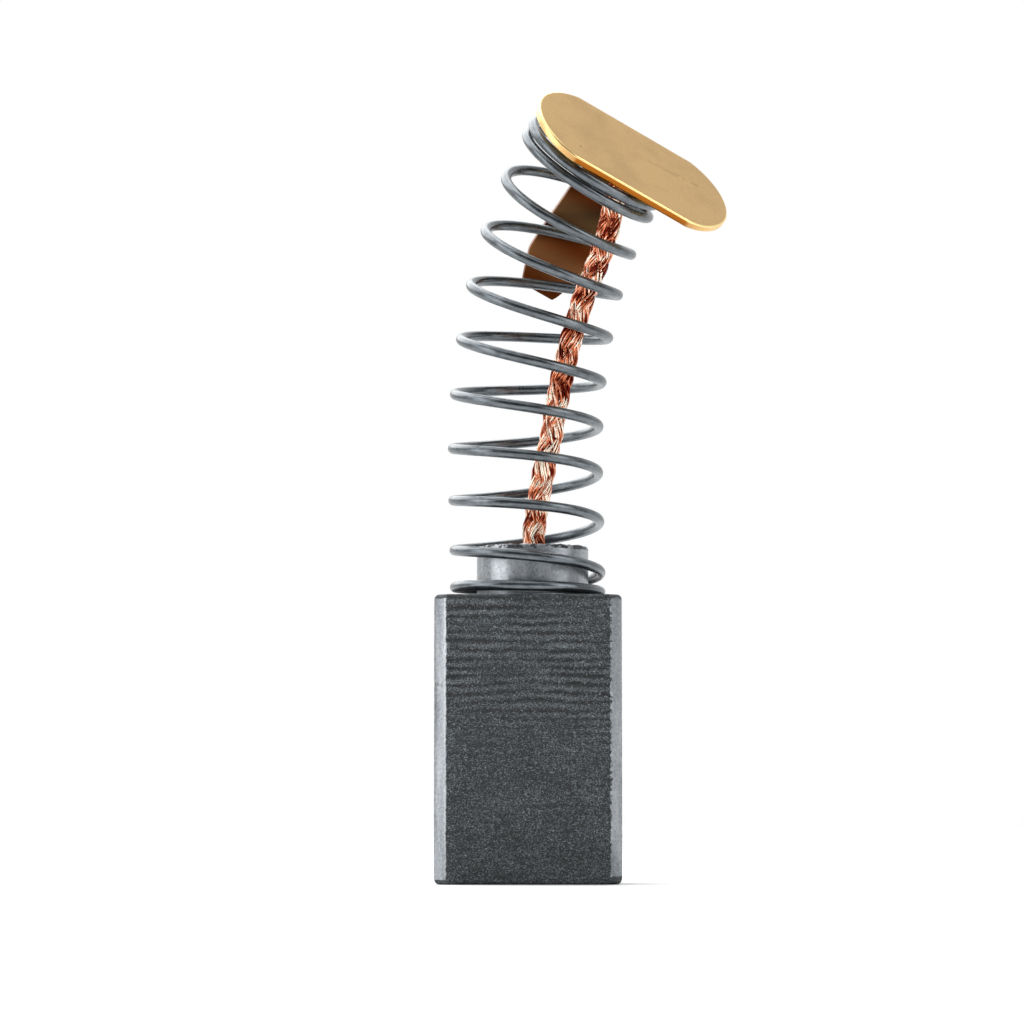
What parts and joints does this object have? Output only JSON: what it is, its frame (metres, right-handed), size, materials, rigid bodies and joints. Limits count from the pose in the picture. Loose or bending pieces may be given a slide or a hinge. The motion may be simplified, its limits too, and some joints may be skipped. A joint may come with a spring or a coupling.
{
  "type": "carbon brush",
  "caption": "Spring-loaded carbon brush: bevelled carbon block with a stub, leaning coil spring, braided copper pigtail and a stamped brass cap with a tongue.",
  "frame": {"origin": "centre of the contact face that runs on the commutator", "axes": "+Z along the carbon block, away from the contact face; +X along the broad face; the broad front face looks along -Y"},
  "size_m": [0.012, 0.0098, 0.0324],
  "materials": {
    "carbon": "matte",
    "tamped_powder": "matte",
    "copper_braid": "satin",
    "spring_steel": "satin",
    "brass_sheet": "satin",
    "solder": "satin"
  },
  "bodies": {
    "block": {"carbon_block": "carbon", "tamping_plug": "tamped_powder", "pigtail_braid": "copper_braid", "coil_spring": "spring_steel"},
    "cap": {"terminal_cap": "brass_sheet", "solder_joint": "solder"}
  },
  "joints": [
    {"name": "cap_press", "type": "slide", "parent": "block", "child": "cap", "axis": [-0.151, 0.12, -0.9812], "range_m": [0, 0.006], "stiffness_N_per_m": 170, "deforming": ["coil_spring", "pigtail_braid"]}
  ]
}
